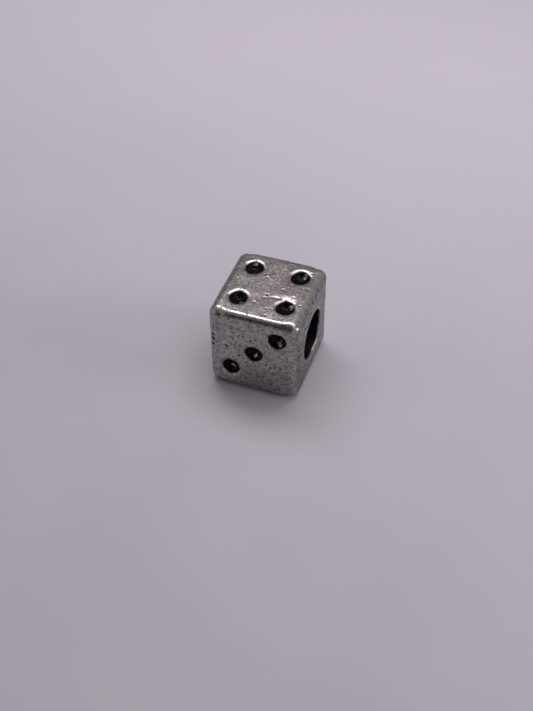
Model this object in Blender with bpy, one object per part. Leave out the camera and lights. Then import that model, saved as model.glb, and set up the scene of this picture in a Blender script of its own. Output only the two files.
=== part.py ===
"""A die-shaped bead with a large hole, cast in metal, with black enamel in its pips.

X runs along the hole, -Y is the face with three pips, and +Z is the face with four.
The origin is the middle of the underside.
"""

import math

import bmesh
import bpy
from mathutils import Matrix, Vector

MM = 0.001

# The casting
LENGTH = 8.0 * MM  # along the hole, X
DEPTH = 8.4 * MM  # Y
HEIGHT = 8.4 * MM  # Z
END_EDGE_RADIUS = 0.85 * MM  # the eight edges round the two faces that the hole opens in
LONG_EDGE_RADIUS = 0.6 * MM  # the four edges that run along the hole
EDGE_SEGMENTS = 6

# The hole
HOLE_RADIUS = 2.2 * MM
HOLE_RIM_RADIUS = 0.17 * MM
HOLE_SIDES = 64
HOLE_RIM_SEGMENTS = 4

# The pips
PIP_RADIUS = 0.82 * MM  # at the top of the wall, under the rounded rim
PIP_FLOOR_RADIUS = 0.52 * MM
PIP_DEPTH = 0.64 * MM
PIP_RIM_RADIUS = 0.14 * MM
PIP_RIM_SEGMENTS = 3
PIP_SIDES = 24
PIP_PITCH_X = 2.07 * MM  # from the middle of a face to a corner pip
PIP_PITCH_Y = 2.0 * MM
PIP_PITCH_Z = 2.11 * MM
TOP_PIP_SHIFT = (0.05 * MM, 0.09 * MM)  # the pips sit a little off the middle of these faces
FRONT_PIP_SHIFT = (0.07 * MM, 0.16 * MM)

# The enamel in each pip
ENAMEL_GAP = 0.02 * MM
ENAMEL_EDGE_DROP = 0.16 * MM  # from the face down to where the enamel meets the wall
ENAMEL_DISH = 0.32 * MM  # how much lower the middle of the enamel is than its edge
ENAMEL_RINGS = 5

CUTTER_REACH = 0.4 * MM  # how far a cutter stands out of the face that it opens
SHARP_ANGLE = math.radians(35)

# Each pip's place on its face, in pitches along the face's two axes
DIAGONAL = ((-1, -1), (1, 1))
CORNERS = ((-1, -1), (1, -1), (-1, 1), (1, 1))
MIDDLE = ((0, 0),)


def clear_scene():
    for obj in list(bpy.data.objects):
        bpy.data.objects.remove(obj, do_unlink=True)


def material(name, color, metallic, roughness):
    made = bpy.data.materials.new(name)
    made.use_nodes = True
    shader = made.node_tree.nodes["Principled BSDF"]
    shader.inputs["Base Color"].default_value = (*color, 1.0)
    shader.inputs["Metallic"].default_value = metallic
    shader.inputs["Roughness"].default_value = roughness
    made.diffuse_color = (*color, 1.0)
    return made


def mesh_object(name, mesh):
    obj = bpy.data.objects.new(name, mesh)
    bpy.context.scene.collection.objects.link(obj)
    return obj


def turned_mesh(name, profile, sides):
    """The closed solid that a profile of (radius, z) points sweeps round Z.

    The profile starts and ends on the axis and runs from the bottom to the top.
    """
    shape = bmesh.new()
    bottom = shape.verts.new((0, 0, profile[0][1]))
    top = shape.verts.new((0, 0, profile[-1][1]))
    rings = []
    for radius, z in profile[1:-1]:
        turns = [2 * math.pi * side / sides for side in range(sides)]
        rings.append([shape.verts.new((radius * math.cos(a), radius * math.sin(a), z)) for a in turns])
    for side in range(sides):
        after = (side + 1) % sides
        shape.faces.new((bottom, rings[0][after], rings[0][side]))
        for lower, upper in zip(rings, rings[1:]):
            shape.faces.new((lower[side], lower[after], upper[after], upper[side]))
        shape.faces.new((rings[-1][side], rings[-1][after], top))
    mesh = bpy.data.meshes.new(name)
    shape.to_mesh(mesh)
    shape.free()
    return mesh


def rim_arc(radius, rim_radius, segments):
    """(radius, depth) points of a rounded rim, from the wall up to the flat face at depth 0."""
    angles = [math.pi / 2 * step / segments for step in range(segments + 1)]
    return [
        (radius + rim_radius * (1 - math.cos(a)), rim_radius * (math.sin(a) - 1))
        for a in angles
    ]


def hole_profile():
    """The hole's cutter, along Z: a cylinder that flares at both mouths."""
    half = LENGTH / 2
    mouth = [(r, half + z) for r, z in rim_arc(HOLE_RADIUS, HOLE_RIM_RADIUS, HOLE_RIM_SEGMENTS)]
    mouth.append((HOLE_RADIUS + HOLE_RIM_RADIUS, half + CUTTER_REACH))
    mouth.append((0, half + CUTTER_REACH))
    return [(r, -z) for r, z in reversed(mouth)] + mouth


def pip_profile():
    """A pip's cutter, with the face at z = 0 and the recess below it."""
    points = [(0, -PIP_DEPTH), (PIP_FLOOR_RADIUS, -PIP_DEPTH)]
    points += rim_arc(PIP_RADIUS, PIP_RIM_RADIUS, PIP_RIM_SEGMENTS)
    points.append((PIP_RADIUS + PIP_RIM_RADIUS, CUTTER_REACH))
    points.append((0, CUTTER_REACH))
    return points


def pip_wall_radius(z):
    """The radius of a pip's tapered wall at a height z below the face."""
    share = (z + PIP_DEPTH) / (PIP_DEPTH - PIP_RIM_RADIUS)
    return PIP_FLOOR_RADIUS + share * (PIP_RADIUS - PIP_FLOOR_RADIUS)


def enamel_profile():
    """The enamel: it follows the recess with a small gap, and its top is a bowl."""
    floor = -PIP_DEPTH + ENAMEL_GAP
    edge = -ENAMEL_EDGE_DROP
    edge_radius = pip_wall_radius(edge) - ENAMEL_GAP
    points = [(0, floor), (pip_wall_radius(floor) - ENAMEL_GAP, floor)]
    for ring in range(ENAMEL_RINGS):
        share = 1 - ring / ENAMEL_RINGS
        points.append((edge_radius * share, edge - ENAMEL_DISH * (1 - share**2)))
    points.append((0, edge - ENAMEL_DISH))
    return points


def face_frames():
    """Each face with pips: its name, its pips' middle, its two axes with their pitches, and its pips."""
    x_step = Vector((PIP_PITCH_X, 0, 0))
    y_step = Vector((0, PIP_PITCH_Y, 0))
    z_step = Vector((0, 0, PIP_PITCH_Z))
    middle = Vector((0, 0, HEIGHT / 2))
    forward = Vector((0, DEPTH / 2, 0))
    top = Vector((TOP_PIP_SHIFT[0], TOP_PIP_SHIFT[1], HEIGHT))
    front = middle - forward + Vector((FRONT_PIP_SHIFT[0], 0, FRONT_PIP_SHIFT[1]))
    return (
        ("bottom", Vector((0, 0, 0)), x_step, -y_step, DIAGONAL),
        ("front", front, x_step, z_step, DIAGONAL[:1] + MIDDLE + DIAGONAL[1:]),
        ("top", top, x_step, y_step, CORNERS),
        ("back", middle + forward, -x_step, z_step, CORNERS[:2] + MIDDLE + CORNERS[2:]),
    )


def pip_places():
    """A (name, matrix) for every pip, with the matrix's Z pointing out of its face."""
    places = []
    for face, middle, across, up, pattern in face_frames():
        turn = Matrix((across.normalized(), up.normalized(), across.cross(up).normalized())).transposed()
        for number, (column, row) in enumerate(pattern, start=1):
            centre = middle + column * across + row * up
            places.append((f"{face}_{number}", Matrix.Translation(centre) @ turn.to_4x4()))
    return places


def rounded_block(name):
    """The block before it is cut, resting on Z = 0, with the bevels kept as a modifier."""
    mesh = bpy.data.meshes.new(name)
    shape = bmesh.new()
    bmesh.ops.create_cube(shape, size=1.0, matrix=Matrix.Diagonal((LENGTH, DEPTH, HEIGHT, 1)))
    bmesh.ops.translate(shape, verts=shape.verts, vec=(0, 0, HEIGHT / 2))
    weights = shape.edges.layers.float.new("bevel_weight_edge")
    for edge in shape.edges:
        first, second = (vert.co for vert in edge.verts)
        along_hole = abs(first.x - second.x) > LENGTH / 2
        edge[weights] = LONG_EDGE_RADIUS / END_EDGE_RADIUS if along_hole else 1.0
    shape.to_mesh(mesh)
    shape.free()
    block = mesh_object(name, mesh)
    bevel = block.modifiers.new("rounded_edges", "BEVEL")
    bevel.limit_method = "WEIGHT"
    bevel.width = END_EDGE_RADIUS
    bevel.segments = EDGE_SEGMENTS
    return block


def hide_cutter(cutter):
    cutter.hide_render = True
    cutter.display_type = "WIRE"


def cut(block, cutter):
    boolean = block.modifiers.new(f"cut_{cutter.name}", "BOOLEAN")
    boolean.operation = "DIFFERENCE"
    boolean.solver = "EXACT"
    boolean.object = cutter
    hide_cutter(cutter)


def make_casting(places, metal):
    casting = rounded_block("bead_casting")
    casting.data.materials.append(metal)
    hole = mesh_object("hole_cutter", turned_mesh("hole_cutter", hole_profile(), HOLE_SIDES))
    hole.rotation_euler = (0, math.pi / 2, 0)
    hole.location = (0, 0, HEIGHT / 2)
    cut(casting, hole)
    recess = turned_mesh("pip_cutter", pip_profile(), PIP_SIDES)
    for name, matrix in places:
        cutter = mesh_object(f"pip_cutter_{name}", recess)
        cutter.matrix_world = matrix
        cut(casting, cutter)
    casting.data.shade_smooth()
    smooth = casting.modifiers.new("flat_normals", "WEIGHTED_NORMAL")
    smooth.keep_sharp = True
    return casting


def make_enamel(places, enamel, casting):
    fill = turned_mesh("pip_enamel", enamel_profile(), PIP_SIDES)
    fill.materials.append(enamel)
    fill.shade_smooth()
    fill.set_sharp_from_angle(angle=SHARP_ANGLE)
    for name, matrix in places:
        drop = mesh_object(f"pip_enamel_{name}", fill)
        drop.matrix_world = matrix
        drop.parent = casting


def main():
    clear_scene()
    metal = material("antique_silver_plate", (0.36, 0.34, 0.34), 1.0, 0.42)
    enamel = material("black_enamel", (0.012, 0.012, 0.014), 0.0, 0.25)
    places = pip_places()
    casting = make_casting(places, metal)
    make_enamel(places, enamel, casting)


main()
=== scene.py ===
"""The looks of the die-shaped bead: cast metal with an antique silver finish, and black enamel in its pips.

Mesh work is done in millimetres and turned into metres when a mesh is stored.
"""

import math

import bpy
import numpy as np
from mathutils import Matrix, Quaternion, Vector


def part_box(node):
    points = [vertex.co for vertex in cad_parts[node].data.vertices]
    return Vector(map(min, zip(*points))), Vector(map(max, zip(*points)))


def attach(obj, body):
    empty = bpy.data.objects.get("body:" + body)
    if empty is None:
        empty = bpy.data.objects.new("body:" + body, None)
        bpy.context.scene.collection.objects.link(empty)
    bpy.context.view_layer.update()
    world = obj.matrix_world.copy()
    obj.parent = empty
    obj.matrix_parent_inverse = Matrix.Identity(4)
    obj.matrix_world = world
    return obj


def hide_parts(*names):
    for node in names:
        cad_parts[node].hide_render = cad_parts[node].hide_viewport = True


MM = 0.001

# The casting, in millimetres
LONG_EDGE_RADIUS = 0.6
END_EDGE_RADIUS = 0.85
EDGE_VARIATION = 0.08  # how much of an edge's radius comes and goes along it
HOLE_RADIUS = 2.2
HOLE_VARIATION = 0.03
HOLE_RIM_RADIUS = 0.18
MESH_PITCH = 0.076  # the length of a mesh edge
PROJECTION_STEPS = 4
GRADIENT_STEP = 0.01

# Waves left by casting and tumbling: size across and depth, in millimetres
WAVES = ((2.6, 0.016), (0.9, 0.0045), (0.32, 0.0018), (0.16, 0.0009))

# Pips, in millimetres
PIP_RADIUS = 0.82
PIP_DEPTH = 0.64
PIP_TAPER = 0.45  # how much the wall closes in for each millimetre down
PIP_RIM_RADIUS = 0.05
PIP_FLOOR_ROUNDING = 0.2
DIP_REACH = 0.14  # the soft dip that leads into a pip: from the pip's edge to the flat face
DIP_VARIATION = 0.05  # how much that reach comes and goes
DIP_SLOPE = math.radians(28)
DIP_SOFTNESS = 0.07  # the width over which the dip blends into the face
PIP_WOBBLE = 0.035  # how far an outline strays from a circle, as a share of its radius
PIP_WOBBLE_WAVES = (2, 3, 4, 5, 7)

# Enamel, in millimetres
ENAMEL_EDGE_DROP = 0.14
ENAMEL_DISH = 0.32
ENAMEL_OVERLAP = 0.02  # how far its edge runs into the metal, so that no light shows between
ENAMEL_LUMP_SIZE = 0.45
ENAMEL_LUMP_HEIGHT = 0.03
ENAMEL_SIDES = 72
ENAMEL_RINGS = 18

# Where the metal shows through the enamel, in millimetres from a pip's middle
BARE_SPOTS = {
    "pip_enamel_top_1": (0.39, -0.42),
    "pip_enamel_top_2": (0.43, 0.46),
    "pip_enamel_top_3": (-0.1, 0.72),
    "pip_enamel_top_4": (0.27, 0.52),
    "pip_enamel_front_1": (0.14, -0.08),
    "pip_enamel_front_2": (0.12, -0.38),
    "pip_enamel_front_3": (0.17, -0.42),
}
BARE_SPOT = (0.2, -0.15)  # on the other faces
BARE_SPOT_SHIFT = 0.03

# Camera, in millimetres and degrees
CAMERA_PLACE = (22.79, -63.464, 67.528)
CAMERA_TARGET = (-0.348, 0.265, 0.0)
CAMERA_ROLL = -0.54
CAMERA_LENS = 54.08
CAMERA_SENSOR = 36.0

PIT_SEED = 11
PIT_COUNT = 90  # small pits at random places
PIT_RADII = (0.045, 0.085)

# Pits that stand out: place, radius and depth, in millimetres
LARGE_PITS = (
    ((-2.3, -4.2, 4.7), 0.11, 0.04),
    ((-0.16, -4.2, 5.9), 0.07, 0.06),
    ((0.2, -4.2, 6.1), 0.05, 0.05),
    ((-3.5, -4.1, 5.6), 0.11, 0.05),
    ((-3.52, -4.1, 5.1), 0.13, 0.06),
    ((-3.55, -4.1, 4.5), 0.11, 0.06),
    ((1.2, -4.2, 3.5), 0.06, 0.05),
    ((1.6, -4.2, 3.3), 0.08, 0.05),
    ((2.0, -4.2, 3.55), 0.07, 0.06),
    ((2.5, -4.2, 3.4), 0.07, 0.05),
    ((3.1, -4.2, 3.2), 0.06, 0.05),
    ((4.0, -2.1, 2.5), 0.09, 0.07),
    ((4.0, -3.1, 7.1), 0.07, 0.06),
    ((1.16, 0.13, 8.4), 0.09, 0.016),
    ((1.3, 0.2, 8.4), 0.09, 0.016),
    ((1.55, 0.45, 8.4), 0.08, 0.015),
    ((1.75, 1.0, 8.4), 0.09, 0.016),
    ((3.15, 0.85, 8.4), 0.09, 0.016),
    ((0.6, -2.5, 8.4), 0.06, 0.04),
    ((0.86, -3.3, 8.4), 0.07, 0.05),
)
# Dents from handling in the top face: place, half-length along X, half-width along Y, and depth
DENTS = (
    ((-0.57, -2.05), 0.16, 0.09, 0.024),
    ((0.05, -1.22), 0.22, 0.09, 0.024),
    ((0.55, -1.1), 0.14, 0.09, 0.022),
    ((0.95, -0.98), 0.26, 0.1, 0.026),
    ((1.95, -1.0), 0.75, 0.32, 0.06),
    ((2.35, -0.5), 0.2, 0.1, 0.018),
    ((2.75, 0.8), 0.14, 0.09, 0.022),
    ((2.85, 2.9), 0.14, 0.09, 0.022),
)


# ---------------------------------------------------------------- noise and distances


def corner_values(cells, seed):
    """A repeatable number from -1 to 1 for each whole-numbered corner of a grid."""
    x, y, z = (cells[:, axis].astype(np.uint32) for axis in range(3))
    mixed = x * np.uint32(0x8DA6B343) ^ y * np.uint32(0xD8163841) ^ z * np.uint32(0xCB1AB31F)
    mixed = mixed ^ np.uint32((seed * 0x9E3779B1) & 0xFFFFFFFF)
    for shift, factor in ((15, 0x2C1B3C6D), (12, 0x297A2D39)):
        mixed = (mixed ^ (mixed >> np.uint32(shift))) * np.uint32(factor)
    mixed = mixed ^ (mixed >> np.uint32(15))
    return mixed.astype(np.float64) / 2**31 - 1


def noise(points, size, seed):
    """Smooth noise from -1 to 1, with lumps about size across."""
    scaled = points / size + seed * 7.31
    base = np.floor(scaled)
    part = scaled - base
    fade = part**3 * (part * (part * 6 - 15) + 10)
    cells = base.astype(np.int64)
    total = np.zeros(len(points))
    for corner in np.ndindex(2, 2, 2):
        weight = np.prod(np.where(corner, fade, 1 - fade), axis=1)
        total += weight * corner_values(cells + corner, seed)
    return total


def rounded_join(a, b, radius):
    """The distance to the overlap of two solids, with the edge between them rounded."""
    over = np.hypot(np.maximum(a + radius, 0), np.maximum(b + radius, 0))
    return np.minimum(np.maximum(a, b), -radius) + over


def softened_join(a, b, width):
    """The distance to the overlap of two solids that meet at a shallow angle, with a soft edge."""
    return np.maximum(a, b) + np.square(np.maximum(width - np.abs(a - b), 0)) / (4 * width)


def ramp(value, low, high):
    """0 below low, 1 above high, and smooth between."""
    share = np.clip((value - low) / (high - low), 0, 1)
    return share * share * (3 - 2 * share)


# ---------------------------------------------------------------- where things are


def pip_facts(node, number, casting_box):
    """A pip's place, read from the CAD enamel: its axis and side, its middle, and its own outline."""
    low, high = (np.array(corner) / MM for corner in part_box(node))
    middle = (low + high) / 2
    axis = int(np.argmin(high - low))
    side = 1 if middle[axis] > casting_box.mean(axis=0)[axis] else -1
    random = np.random.RandomState(100 + number)
    radius = PIP_RADIUS * random.uniform(0.97, 1.03)
    waves = []
    for count in PIP_WOBBLE_WAVES:
        size = random.uniform(0.3, 1) / count**0.7
        waves.append((count, size, random.uniform(0, 2 * math.pi)))
    return {
        "node": node,
        "number": number,
        "axis": axis,
        "side": side,
        "face": casting_box[1 if side > 0 else 0][axis],
        "others": [i for i in range(3) if i != axis],
        "middle": middle,
        "radius": radius,
        "waves": waves,
    }


def outline(pip, angle):
    """How far the pip's outline is from its middle at an angle, as a share of its radius."""
    return 1 + PIP_WOBBLE * sum(size * np.cos(k * angle + phase) for k, size, phase in pip["waves"])


def pip_recess(pip, points):
    """The distances to the pip's tapered recess and to the dip round it, negative inside them."""
    depth = pip["side"] * (pip["face"] - points[:, pip["axis"]])
    across, up = (points[:, i] - pip["middle"][i] for i in pip["others"])
    from_middle = np.hypot(across, up) / outline(pip, np.arctan2(up, across))
    wall = (from_middle - pip["radius"] + PIP_TAPER * depth) / math.hypot(1, PIP_TAPER)
    reach = DIP_REACH + DIP_VARIATION * noise(points, 0.5, 70 + pip["number"])
    dip = (from_middle - pip["radius"] - reach) * math.sin(DIP_SLOPE) + depth * math.cos(DIP_SLOPE)
    return rounded_join(wall, depth - PIP_DEPTH, PIP_FLOOR_ROUNDING), dip


def make_pits(casting_box):
    """The large pits, and small ones at random places: (place, axis across its face, radius, depth)."""
    random = np.random.RandomState(PIT_SEED)
    low, high = casting_box
    pits = []
    for place, radius, depth in LARGE_PITS:
        axis = int(np.argmin(np.minimum(np.abs(place - low), np.abs(high - place))))
        pits.append((place, axis, radius, depth))
    for _ in range(PIT_COUNT):
        place = random.uniform(low, high)
        axis = random.randint(3)
        place[axis] = (low, high)[random.randint(2)][axis]
        radius = random.uniform(*PIT_RADII)
        pits.append((place, axis, radius, radius * random.uniform(0.5, 0.9)))
    return pits


# ---------------------------------------------------------------- the casting


def block_distance(points, casting_box):
    """The distance to the plain block with its rounded edges."""
    half = (casting_box[1] - casting_box[0]) / 2
    away = np.abs(points - casting_box.mean(axis=0)) - half
    swell = 1 + EDGE_VARIATION * noise(points, 1.7, 5)
    near_end = ramp(away[:, 0], -2 * END_EDGE_RADIUS, -END_EDGE_RADIUS)
    radius = LONG_EDGE_RADIUS + (END_EDGE_RADIUS - LONG_EDGE_RADIUS) * near_end
    along = rounded_join(away[:, 1], away[:, 2], radius * swell)
    return rounded_join(along, away[:, 0], END_EDGE_RADIUS * swell)


def shape_distance(points, casting_box, pips):
    """The distance to the block less its hole and its pips' recesses."""
    centre = casting_box.mean(axis=0)
    distance = block_distance(points, casting_box)
    hole_radius = HOLE_RADIUS + HOLE_VARIATION * noise(points, 1.6, 9)
    hole = hole_radius - np.hypot(points[:, 1] - centre[1], points[:, 2] - centre[2])
    distance = rounded_join(distance, hole, HOLE_RIM_RADIUS)
    for pip in pips:
        near = np.linalg.norm(points - pip["middle"], axis=1) < 2 * PIP_RADIUS
        recess, dip = pip_recess(pip, points[near])
        distance[near] = softened_join(distance[near], -dip, DIP_SOFTNESS)
        distance[near] = rounded_join(distance[near], -recess, PIP_RIM_RADIUS)
    return distance


def pitting(points, pits):
    """How far the pits lower the surface."""
    lowered = np.zeros(len(points))
    for place, axis, radius, depth in pits:
        near = np.abs(points - place).max(axis=1) < 3 * radius
        away = points[near] - place
        away[:, axis] = 0
        lowered[near] += depth * np.exp(-np.square(away).sum(axis=1) / radius**2)
    return lowered


def wear(points, top):
    """How far the waves and dents lower the surface."""
    lowered = np.zeros(len(points))
    for number, (size, depth) in enumerate(WAVES):
        lowered += depth * (0.6 + noise(points, size, 20 + number))
    on_top = points[:, 2] > top - 0.3
    for (x, y), length, width, depth in DENTS:
        along = (points[on_top, 0] - x) / length
        across = (points[on_top, 1] - y) / width
        ragged = 1 + 0.35 * noise(points[on_top], 0.22, 31)
        lowered[on_top] += depth * ragged * np.exp(-np.square(along) - np.square(across))
    return lowered


def slopes(distance_at, points):
    """The gradient of a distance at some points, by small steps each way."""
    found = np.empty_like(points)
    for axis in range(3):
        step = np.zeros(3)
        step[axis] = GRADIENT_STEP
        found[:, axis] = (distance_at(points + step) - distance_at(points - step)) / (2 * GRADIENT_STEP)
    return found


def remeshed(node):
    """A copy of a CAD node's mesh in millimetres, as even small quads: (points, faces)."""
    mesh = node.data.copy()
    mesh.transform(node.matrix_world)
    mesh.transform(((1 / MM, 0, 0, 0), (0, 1 / MM, 0, 0), (0, 0, 1 / MM, 0), (0, 0, 0, 1)))
    helper = bpy.data.objects.new("remesh_helper", mesh)
    bpy.context.scene.collection.objects.link(helper)
    remesh = helper.modifiers.new("remesh", "REMESH")
    remesh.mode = "VOXEL"
    remesh.voxel_size = MESH_PITCH
    graph = bpy.context.evaluated_depsgraph_get()
    result = helper.evaluated_get(graph).to_mesh()
    points = np.empty(len(result.vertices) * 3)
    result.vertices.foreach_get("co", points)
    faces = np.empty(len(result.polygons) * 4, int)
    result.polygons.foreach_get("vertices", faces)
    bpy.data.objects.remove(helper, do_unlink=True)
    bpy.data.meshes.remove(mesh)
    return points.reshape(-1, 3), faces.reshape(-1, 4).tolist()


def mesh_from(name, points, faces):
    mesh = bpy.data.meshes.new(name)
    mesh.from_pydata((np.asarray(points) * MM).tolist(), [], list(faces))
    mesh.update()
    mesh.shade_smooth()
    obj = bpy.data.objects.new(name, mesh)
    bpy.context.scene.collection.objects.link(obj)
    return obj


def add_attribute(obj, name, values):
    attribute = obj.data.attributes.new(name, "FLOAT", "POINT")
    attribute.data.foreach_set("value", values.astype(np.float32))


def make_casting(node, casting_box, pips):
    pits = make_pits(casting_box)
    top = casting_box[1][2]
    points, faces = remeshed(node)
    for _ in range(PROJECTION_STEPS):
        slope = slopes(lambda at: shape_distance(at, casting_box, pips), points)
        steepness = np.square(slope).sum(axis=1)
        distance = shape_distance(points, casting_box, pips) + wear(points, top) + pitting(points, pits)
        shift = slope * (distance / np.maximum(steepness, 0.2))[:, None]
        points = points - np.clip(shift, -0.5 * MESH_PITCH, 0.5 * MESH_PITCH)
    casting = mesh_from("cast_bead", points, faces)
    mark_surface(casting, points, casting_box, pits)
    return casting


def mark_surface(casting, points, casting_box, pits):
    """Store each point's patina (deep in the hole also painted shade), tarnish with painted shade, warmth,
    rubbing with a painted highlight and how far it faces an end.
    """
    top = casting_box[1][2]
    sunk = -block_distance(points, casting_box)
    slope = slopes(lambda at: block_distance(at, casting_box), points)
    flatness = np.abs(slope).max(axis=1) / np.linalg.norm(slope, axis=1)
    from_hole = np.hypot(points[:, 1], points[:, 2] - top / 2) - HOLE_RADIUS
    to_end = np.abs(slope[:, 0])
    upward = slope[:, 2]

    # Dark patina fills the hole, the pips and the pits; deep in the hole it is also painted shade
    in_hole = from_hole < 0.5 * HOLE_RIM_RADIUS
    start = np.where(in_hole, 0.13 + 0.08 * noise(points, 0.5, 83), 0.10)
    patina_and_hole_shade = ramp(sunk - start, 0.0, np.where(in_hole, 0.1, 0.03))
    patina_and_hole_shade = np.maximum(patina_and_hole_shade, ramp(pitting(points, pits), 0.005, 0.013))
    add_attribute(casting, "sunk", patina_and_hole_shade)

    # Tarnish comes and goes at random, with painted shade over it: darker on the ends and the front, lighter
    # on the top and the back. The top is the pinkest in its middle
    tarnish_and_shade = 0.45 + 0.5 * noise(points, 2.4, 81) + 0.3 * (to_end - np.maximum(upward, 0))
    add_attribute(casting, "tarnish_and_shade", np.clip(tarnish_and_shade - 0.25 * slope[:, 1], 0, 1))
    middle = ramp(points[:, 0] + 0.5 * noise(points, 1.2, 84), -2.2, -1.0)
    middle *= ramp(-points[:, 0], -3.0, -2.2)
    warmth = (0.2 + 0.7 * middle) * np.maximum(upward, 0.25) + 0.25 * noise(points, 0.9, 85)
    add_attribute(casting, "warmth", np.clip(warmth, 0, 1))
    add_attribute(casting, "end", ramp(to_end, 0.6, 1.0))

    # The long top edges and the hole's lip are rubbed bright, and lightened further as a painted highlight
    # and glint: only the upward-facing long edges get it
    crest_rub_and_highlight = ramp(1 - flatness, 0.01, 0.1) * ramp(upward, 0.75, 0.9) * (1 - ramp(to_end, 0.03, 0.15))
    lip_rub_and_glint = ramp(from_hole, 0.1, 0.17) * ramp(-from_hole, -0.38, -0.25) * ramp(to_end, 0.9, 1.0) * 0.4
    add_attribute(casting, "edge", np.maximum(crest_rub_and_highlight, lip_rub_and_glint) * (sunk < 0.1))


# ---------------------------------------------------------------- the enamel


def ring_points(radius, angles, z):
    """A ring round Z, with one radius or one for each angle."""
    return np.stack([radius * np.cos(angles), radius * np.sin(angles), np.full(len(angles), z)], 1)


def enamel_faces(middle_top, first_floor, middle_floor):
    """The bowl's rings and middle, the wall, and the floor, all facing out."""
    faces = []
    for side in range(ENAMEL_SIDES):
        after = (side + 1) % ENAMEL_SIDES
        for ring in range(ENAMEL_RINGS - 1):
            outer, inner = ring * ENAMEL_SIDES, (ring + 1) * ENAMEL_SIDES
            faces.append((outer + side, outer + after, inner + after, inner + side))
        last = (ENAMEL_RINGS - 1) * ENAMEL_SIDES
        faces.append((last + side, last + after, middle_top))
        faces.append((side, first_floor + side, first_floor + after, after))
        faces.append((first_floor + side, middle_floor, first_floor + after))
    return faces


def bare_share(pip, local, top_count):
    """How bare each point of the enamel is: a ragged spot in the bowl, and nothing under it."""
    random = np.random.RandomState(300 + pip["number"])
    spot = np.array(BARE_SPOTS.get(pip["node"], BARE_SPOT))
    spot = spot + random.uniform(-BARE_SPOT_SHIFT, BARE_SPOT_SHIFT, 2)
    away = np.hypot(*(local[:, :2] - spot).T) + 0.12 * noise(local + 5 * pip["number"], 0.16, 90)
    return (1 - ramp(away, 0.13, 0.2)) * ramp(away, 0.0, 0.05) * (np.arange(len(local)) < top_count)


def make_enamel(pip):
    """A drop of enamel: a lumpy bowl on top that runs up the wall, over a plain closed underside."""
    angles = np.arange(ENAMEL_SIDES) * 2 * math.pi / ENAMEL_SIDES
    wall = pip["radius"] - PIP_TAPER * ENAMEL_EDGE_DROP
    rings = []
    for ring in range(ENAMEL_RINGS, 0, -1):
        share = ring / ENAMEL_RINGS
        reach = share * (wall * outline(pip, angles) + ENAMEL_OVERLAP)
        drop = ENAMEL_EDGE_DROP + ENAMEL_DISH * (1 - share**2)
        rings.append(ring_points(reach, angles, -drop))
    top = np.concatenate(rings + [np.array([[0, 0, -ENAMEL_EDGE_DROP - ENAMEL_DISH]])])
    lumps = noise(top + 3 * pip["number"], ENAMEL_LUMP_SIZE, 40 + pip["number"])
    fine = noise(top + 3 * pip["number"], ENAMEL_LUMP_SIZE / 2.5, 60 + pip["number"])
    top[:, 2] += ENAMEL_LUMP_HEIGHT * (lumps + 0.4 * fine)
    floor_radius = PIP_RADIUS - PIP_TAPER * PIP_DEPTH
    floor = ring_points(floor_radius, angles, -PIP_DEPTH)
    local = np.concatenate([top, floor, [[0, 0, -PIP_DEPTH]]])
    faces = enamel_faces(len(top) - 1, len(top), len(local) - 1)
    points = np.empty_like(local)
    across, up = pip["others"]
    points[:, across] = pip["middle"][across] + local[:, 0]
    points[:, up] = pip["middle"][up] + local[:, 1]
    points[:, pip["axis"]] = pip["face"] + pip["side"] * local[:, 2]
    # The two axes and the outward one make a left-handed set on three of the faces
    right_handed = (-1 if pip["axis"] == 1 else 1) * pip["side"] > 0
    if not right_handed:
        faces = [tuple(reversed(face)) for face in faces]
    drop = mesh_from(pip["node"].replace("pip_enamel", "enamel"), points, faces)
    add_attribute(drop, "bare", bare_share(pip, local, len(top)))
    return drop


# ---------------------------------------------------------------- materials


def new_material(name):
    material = bpy.data.materials.new(name)
    material.use_nodes = True
    return material, material.node_tree, material.node_tree.nodes["Principled BSDF"]


def add_node(tree, kind, inputs=None, **settings):
    """A node with its settings and its inputs: each input is a plain value or another node's output."""
    made = tree.nodes.new(kind)
    for name, value in settings.items():
        setattr(made, name, value)
    for name, value in (inputs or {}).items():
        if isinstance(value, bpy.types.NodeSocket):
            tree.links.new(value, made.inputs[name])
        else:
            made.inputs[name].default_value = value
    return made


def millimetres(tree):
    """Object coordinates in millimetres."""
    place = add_node(tree, "ShaderNodeTexCoord").outputs["Object"]
    return add_node(tree, "ShaderNodeVectorMath", {0: place, "Scale": 1 / MM}, operation="SCALE").outputs[0]


def noise_field(tree, place, per_mm, detail=2.0, roughness=0.5, distortion=0.0):
    inputs = {"Vector": place, "Scale": per_mm, "Detail": detail}
    inputs.update({"Roughness": roughness, "Distortion": distortion})
    return add_node(tree, "ShaderNodeTexNoise", inputs).outputs["Fac"]


def remap(tree, value, low, high, to_low=0.0, to_high=1.0):
    inputs = {"Value": value, "From Min": low, "From Max": high, "To Min": to_low, "To Max": to_high}
    return add_node(tree, "ShaderNodeMapRange", inputs, interpolation_type="SMOOTHSTEP").outputs["Result"]


def math_node(tree, operation, a, b, clamp=False):
    return add_node(tree, "ShaderNodeMath", {0: a, 1: b}, operation=operation, use_clamp=clamp).outputs[0]


def mix_color(tree, factor, a, b):
    made = tree.nodes.new("ShaderNodeMix")
    made.data_type = "RGBA"
    for index, value in ((0, factor), (6, a), (7, b)):
        if isinstance(value, bpy.types.NodeSocket):
            tree.links.new(value, made.inputs[index])
        elif index == 0:
            made.inputs[index].default_value = value
        else:
            made.inputs[index].default_value = (*value, 1.0)
    return made.outputs[2]


def toned(tree, color, other, *shares):
    """A colour mixed towards another one by the product of some shares."""
    factor = shares[0]
    for share in shares[1:]:
        factor = math_node(tree, "MULTIPLY", factor, share)
    return mix_color(tree, factor, color, other)


def attribute(tree, name):
    return add_node(tree, "ShaderNodeAttribute", attribute_name=name).outputs["Fac"]


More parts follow.
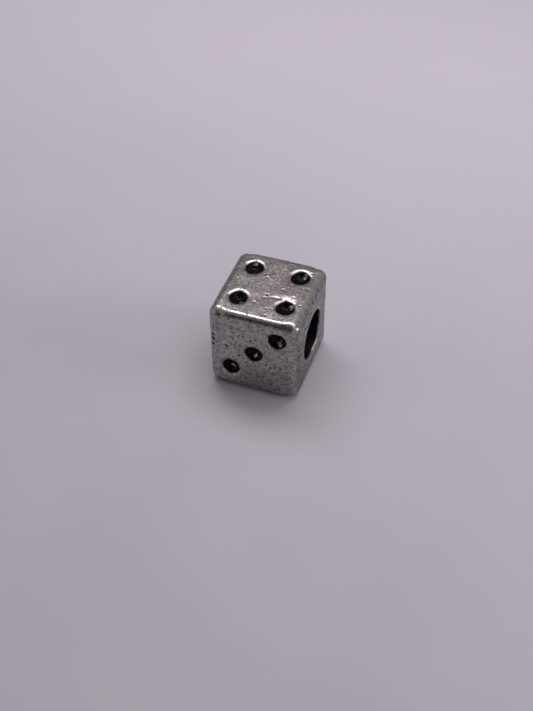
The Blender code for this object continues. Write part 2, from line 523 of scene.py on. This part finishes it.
# Colours of the plating
GREY = (0.374, 0.37, 0.353)
PINKISH = (0.408, 0.355, 0.364)
PALE = (0.47, 0.45, 0.46)
BROWN = (0.27, 0.243, 0.20)
# Painted shade that dulls and darkens the ends
END_DULL_SHADE = (0.26, 0.253, 0.25)
END_STAIN = (0.12, 0.117, 0.113)
END_BRIGHT = (0.36, 0.355, 0.35)
GRAIN_DARK = (0.12, 0.108, 0.10)
GRAIN_LIGHT = (0.58, 0.57, 0.545)
GLINT = (0.58, 0.57, 0.57)
# Rubbed metal, lightened further as a painted highlight on the edges
RUBBED_HIGHLIGHT = (0.72, 0.70, 0.69)
# Dark patina, also painted shade deep in the hole
PATINA_AND_HOLE_SHADE = (0.022, 0.02, 0.021)
PLATING_BUMP = 0.009  # in millimetres
PLATING_TINT = (0.85, 0.85, 0.85, 1.0)  # dulls the shine at grazing angles


def plating_tones(tree, place, patch, blotch, tarnish_and_shade):
    """Grey to pinkish, with paler patches, browner patches where tarnish and painted shade lie, and stained
    and duller on the ends, the dulling being painted shade.
    """
    end = attribute(tree, "end")
    stain = noise_field(tree, place, 1.6, 3.0, 0.6, 0.4)
    color = mix_color(tree, attribute(tree, "warmth"), GREY, PINKISH)
    color = toned(tree, color, PALE, remap(tree, patch, 0.5, 0.68, 0.0, 0.5))
    color = toned(tree, color, BROWN, remap(tree, blotch, 0.52, 0.36), tarnish_and_shade, 0.5)
    # Painted shade: the ends are made duller and darker
    color = toned(tree, color, END_DULL_SHADE, end, 0.75)
    color = toned(tree, color, END_STAIN, remap(tree, stain, 0.5, 0.38), end)
    return toned(tree, color, END_BRIGHT, remap(tree, stain, 0.54, 0.66), end)


def plating_grain(tree, color, grain, fine, tarnish_and_shade, edge):
    """Fine grain, stronger where it is tarnished or painted darker as shade, and bright rubbed edges with a
    painted highlight over it.
    """
    dim = remap(tree, tarnish_and_shade, 0.0, 0.6, 0.10, 0.75)
    color = toned(tree, color, GRAIN_DARK, remap(tree, grain, 0.5, 0.36), dim)
    lift = remap(tree, tarnish_and_shade, 0.0, 0.6, 0.05, 0.50)
    color = toned(tree, color, GRAIN_LIGHT, remap(tree, grain, 0.52, 0.64), lift)
    color = toned(tree, color, GLINT, remap(tree, fine, 0.5, 0.7, 0.0, 0.14))
    # Painted highlight: the rubbed top edges and the hole's lip are lightened
    return toned(tree, color, RUBBED_HIGHLIGHT, edge, 0.9)


def dark_specks(tree, place, patch, blotch):
    """1 in the specks and wherever dark patina fills the casting, which deep in the hole is also painted
    shade, and 0 between.
    """
    dots = add_node(tree, "ShaderNodeTexVoronoi", {"Vector": place, "Scale": 2.3, "Randomness": 1.0})
    dot = remap(tree, dots.outputs["Distance"], 0.16, 0.08)
    dot = math_node(tree, "MULTIPLY", dot, remap(tree, patch, 0.52, 0.42))
    speck = remap(tree, noise_field(tree, place, 6.0, 2.0, 0.5, 0.5), 0.60, 0.67)
    speck = math_node(tree, "MULTIPLY", speck, remap(tree, blotch, 0.60, 0.42, 0.1, 0.9))
    dark = math_node(tree, "MAXIMUM", dot, speck)
    return math_node(tree, "MAXIMUM", dark, attribute(tree, "sunk"))


def plating_roughness(tree, patch, fine, tarnish_and_shade, edge, dark):
    """Satin metal, rougher where it is tarnished or painted darker as shade, or dark, and smoother on the
    rubbed edges that carry a painted highlight.
    """
    rough = remap(tree, patch, 0.3, 0.7, 0.18, 0.24)
    rough = math_node(tree, "ADD", rough, remap(tree, fine, 0.3, 0.7, -0.04, 0.06))
    rough = math_node(tree, "ADD", rough, math_node(tree, "MULTIPLY", tarnish_and_shade, 0.10))
    rough = math_node(tree, "SUBTRACT", rough, math_node(tree, "MULTIPLY", edge, 0.06))
    return math_node(tree, "ADD", rough, math_node(tree, "MULTIPLY", dark, 0.25), True)


def plating_bump(tree, grain, fine, dark, edge):
    """Grain and sunken specks, fainter on the rubbed edges that carry the painted highlight."""
    height = math_node(tree, "MULTIPLY", grain, 0.6)
    height = math_node(tree, "ADD", height, math_node(tree, "MULTIPLY", fine, 0.2))
    height = math_node(tree, "SUBTRACT", height, math_node(tree, "MULTIPLY", dark, 1.2))
    height = math_node(tree, "MULTIPLY", height, remap(tree, edge, 0.0, 1.0, 1.0, 0.4))
    inputs = {"Height": height, "Strength": 1.0, "Distance": PLATING_BUMP * MM}
    return add_node(tree, "ShaderNodeBump", inputs).outputs["Normal"]


def silver_material():
    material, tree, shader = new_material("antique_silver_plate")
    place = millimetres(tree)
    patch = noise_field(tree, place, 1.1, 4.0, 0.6, 0.3)
    blotch = noise_field(tree, place, 2.2, 3.0, 0.6, 0.5)
    grain = noise_field(tree, place, 4.2, 3.0, 0.7)
    fine = noise_field(tree, place, 14.0, 3.0, 0.65)
    tarnish_and_shade = attribute(tree, "tarnish_and_shade")
    edge = attribute(tree, "edge")
    dark = dark_specks(tree, place, patch, blotch)
    color = plating_tones(tree, place, patch, blotch, tarnish_and_shade)
    color = plating_grain(tree, color, grain, fine, tarnish_and_shade, edge)
    # Dark patina, and painted shade deep in the hole
    color = mix_color(tree, dark, color, PATINA_AND_HOLE_SHADE)
    rough = plating_roughness(tree, patch, fine, tarnish_and_shade, edge, dark)
    tree.links.new(color, shader.inputs["Base Color"])
    tree.links.new(rough, shader.inputs["Roughness"])
    tree.links.new(plating_bump(tree, grain, fine, dark, edge), shader.inputs["Normal"])
    shader.inputs["Metallic"].default_value = 1.0
    shader.inputs["Specular Tint"].default_value = PLATING_TINT
    return material


# Colours of the enamel, of the metal that shows through it, and its bump in millimetres
ENAMEL_BLACK = ((0.0015, 0.0015, 0.002), (0.004, 0.004, 0.005))
BARE_METAL = (0.46, 0.45, 0.44)
ENAMEL_BUMP = 0.003


def enamel_material():
    material, tree, shader = new_material("black_enamel")
    place = millimetres(tree)
    cloud = noise_field(tree, place, 2.5, 2.0)
    grain = noise_field(tree, place, 12.0, 3.0, 0.65)
    color = mix_color(tree, remap(tree, cloud, 0.4, 0.7), *ENAMEL_BLACK)

    # Specks where the metal shows through
    broken = noise_field(tree, place, 7.0, 2.0, 0.5, 0.6)
    bare = math_node(tree, "MULTIPLY", attribute(tree, "bare"), remap(tree, broken, 0.40, 0.50))
    bare = math_node(tree, "MAXIMUM", bare, remap(tree, broken, 0.70, 0.73))
    color = mix_color(tree, bare, color, BARE_METAL)
    rough = remap(tree, cloud, 0.42, 0.6, 0.22, 0.10)
    rough = math_node(tree, "ADD", rough, math_node(tree, "MULTIPLY", bare, 0.15))
    inputs = {"Height": grain, "Strength": 1.0, "Distance": ENAMEL_BUMP * MM}
    bump = add_node(tree, "ShaderNodeBump", inputs)
    tree.links.new(color, shader.inputs["Base Color"])
    tree.links.new(bare, shader.inputs["Metallic"])
    tree.links.new(rough, shader.inputs["Roughness"])
    tree.links.new(bump.outputs["Normal"], shader.inputs["Normal"])
    shader.inputs["Specular IOR Level"].default_value = 0.05
    return material


# The paper: where along Y its painted shade starts and stops fading, so that it gets lighter towards the
# back, in millimetres, and its colours
PAPER_SHADE_FADE = (-10.0, 70.0)
PAPER_NEAR_SHADED = ((0.49, 0.454, 0.514), (0.51, 0.473, 0.53))
PAPER_FAR_LIT = (0.635, 0.59, 0.66)
PAPER_BUMP = 0.02


def paper_material():
    material, tree, shader = new_material("pale_paper")
    place = millimetres(tree)
    cloud = noise_field(tree, place, 0.05, 3.0)
    fibre = noise_field(tree, place, 3.0, 4.0, 0.6)
    color = mix_color(tree, remap(tree, cloud, 0.35, 0.65), *PAPER_NEAR_SHADED)
    # Painted shade and light: the paper is darker near the camera and lighter towards the back
    depth = add_node(tree, "ShaderNodeSeparateXYZ", {0: place}).outputs["Y"]
    painted_light_falloff = remap(tree, depth, PAPER_SHADE_FADE[0], PAPER_SHADE_FADE[1])
    color = mix_color(tree, painted_light_falloff, color, PAPER_FAR_LIT)
    bump = add_node(tree, "ShaderNodeBump", {"Height": fibre, "Strength": 0.25, "Distance": PAPER_BUMP * MM})
    tree.links.new(color, shader.inputs["Base Color"])
    tree.links.new(bump.outputs["Normal"], shader.inputs["Normal"])
    shader.inputs["Roughness"].default_value = 0.75
    return material


# ---------------------------------------------------------------- floor, light and camera

FLOOR_HALF = 600.0

# Panels of light: azimuth and elevation of the middle in degrees, how far its right side is turned
# up, distance, width and height in millimetres, and radiance. Azimuth 0 is ahead (+Y) and 90 is to
# the right (+X).
PANELS = (
    ("key_panel", -21, 67, 24, 150, 140, 60, 4.4, (1.0, 0.97, 0.98)),
    ("high_panel", 75, 68, 0, 150, 100, 60, 1.2, (1.0, 0.98, 1.0)),
    ("side_panel", 84, 20, 0, 150, 55, 45, 6.0, (1.0, 0.98, 1.0)),
)

# Soft patches in the surroundings: azimuth and elevation in degrees, the half-angles where each
# starts and stops fading, and its brightness
SKY_PATCHES = (
    (-20, 34, 20, 55, 0.04),
    (48, 22, 20, 50, 0.22),
    (-100, 40, 20, 55, 0.20),
    (-125, 12, 10, 35, 0.15),
    (125, 22, 20, 50, 0.22),
    (-163, 46, 28, 48, -0.195),
)
SKY_PATCH_TINT = (1.0, 0.97, 1.0)
SKY_BASE = (0.20, 0.194, 0.20)
BACKDROP = (0.46, 0.43, 0.48)  # what the camera sees past the floor


def direction(azimuth, elevation):
    a, e = math.radians(azimuth), math.radians(elevation)
    return (math.sin(a) * math.cos(e), math.cos(a) * math.cos(e), math.sin(e))


def sky_patch(tree, look, azimuth, elevation, full, gone):
    """1 within an angle of a direction in the surroundings, falling to 0 at a larger one."""
    towards = add_node(
        tree, "ShaderNodeVectorMath", {0: look, 1: direction(azimuth, elevation)}, operation="DOT_PRODUCT"
    ).outputs["Value"]
    return remap(tree, towards, math.cos(math.radians(gone)), math.cos(math.radians(full)))


def make_surroundings():
    world = bpy.data.worlds.new("soft_studio")
    bpy.context.scene.world = world
    world.use_nodes = True
    tree = world.node_tree
    background = tree.nodes["Background"]
    look = add_node(tree, "ShaderNodeTexCoord").outputs["Generated"]
    light = 0.0
    for azimuth, elevation, full, gone, strength in SKY_PATCHES:
        patch = sky_patch(tree, look, azimuth, elevation, full, gone)
        light = math_node(tree, "ADD", light, math_node(tree, "MULTIPLY", patch, strength))
    glow = add_node(
        tree, "ShaderNodeVectorMath", {0: SKY_PATCH_TINT, "Scale": light}, operation="SCALE"
    ).outputs[0]
    color = add_node(tree, "ShaderNodeVectorMath", {0: SKY_BASE, 1: glow}, operation="ADD").outputs[0]
    seen = add_node(tree, "ShaderNodeLightPath").outputs["Is Camera Ray"]
    tree.links.new(mix_color(tree, seen, color, BACKDROP), background.inputs["Color"])


def make_panels():
    for name, azimuth, elevation, turn, distance, width, height, radiance, tint in PANELS:
        data = bpy.data.lights.new(name, "AREA")
        data.shape = "RECTANGLE"
        data.size = width * MM
        data.size_y = height * MM
        data.energy = radiance * math.pi * data.size * data.size_y
        data.color = tint
        panel = bpy.data.objects.new(name, data)
        bpy.context.scene.collection.objects.link(panel)
        place = Vector(direction(azimuth, elevation)) * distance * MM
        panel.location = place
        panel.rotation_mode = "QUATERNION"
        roll = Quaternion((0, 0, 1), math.radians(-turn))
        panel.rotation_quaternion = place.to_track_quat("Z", "Y") @ roll
        panel.visible_camera = False


def make_floor():
    corners = [(-1, -1), (1, -1), (1, 1), (-1, 1)]
    places = [(FLOOR_HALF * x, FLOOR_HALF * y, 0) for x, y in corners]
    floor = mesh_from("floor", places, [(0, 1, 2, 3)])
    floor.data.materials.append(paper_material())


def make_camera():
    data = bpy.data.cameras.new("camera")
    data.lens = CAMERA_LENS
    data.sensor_width = CAMERA_SENSOR
    data.clip_start = 1 * MM
    data.clip_end = 2.0
    camera = bpy.data.objects.new("camera", data)
    bpy.context.scene.collection.objects.link(camera)
    camera.location = Vector(CAMERA_PLACE) * MM
    aim = Vector(CAMERA_TARGET) - Vector(CAMERA_PLACE)
    camera.rotation_mode = "QUATERNION"
    roll = Quaternion((0, 0, 1), math.radians(CAMERA_ROLL))
    camera.rotation_quaternion = aim.to_track_quat("-Z", "Y") @ roll
    bpy.context.scene.camera = camera


# ---------------------------------------------------------------- putting it together

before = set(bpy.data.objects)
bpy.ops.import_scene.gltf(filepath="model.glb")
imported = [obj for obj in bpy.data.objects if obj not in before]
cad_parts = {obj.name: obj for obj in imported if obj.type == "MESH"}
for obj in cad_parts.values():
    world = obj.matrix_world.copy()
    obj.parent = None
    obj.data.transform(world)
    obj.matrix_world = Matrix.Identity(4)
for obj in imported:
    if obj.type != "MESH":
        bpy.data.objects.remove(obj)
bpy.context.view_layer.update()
casting_box = np.array([list(corner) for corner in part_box("bead_casting")]) / MM
make_camera()
make_floor()
make_surroundings()
make_panels()
bpy.context.scene.view_settings.view_transform = "Standard"

enamel_nodes = sorted(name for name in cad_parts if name.startswith("pip_enamel"))
pips = [pip_facts(name, number, casting_box) for number, name in enumerate(enamel_nodes)]

casting = make_casting(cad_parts["bead_casting"], casting_box, pips)
casting.data.materials.append(silver_material())
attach(casting, "root")
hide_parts("bead_casting")

black = enamel_material()
for pip in pips:
    drop = make_enamel(pip)
    drop.data.materials.append(black)
    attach(drop, "root")
    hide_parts(pip["node"])
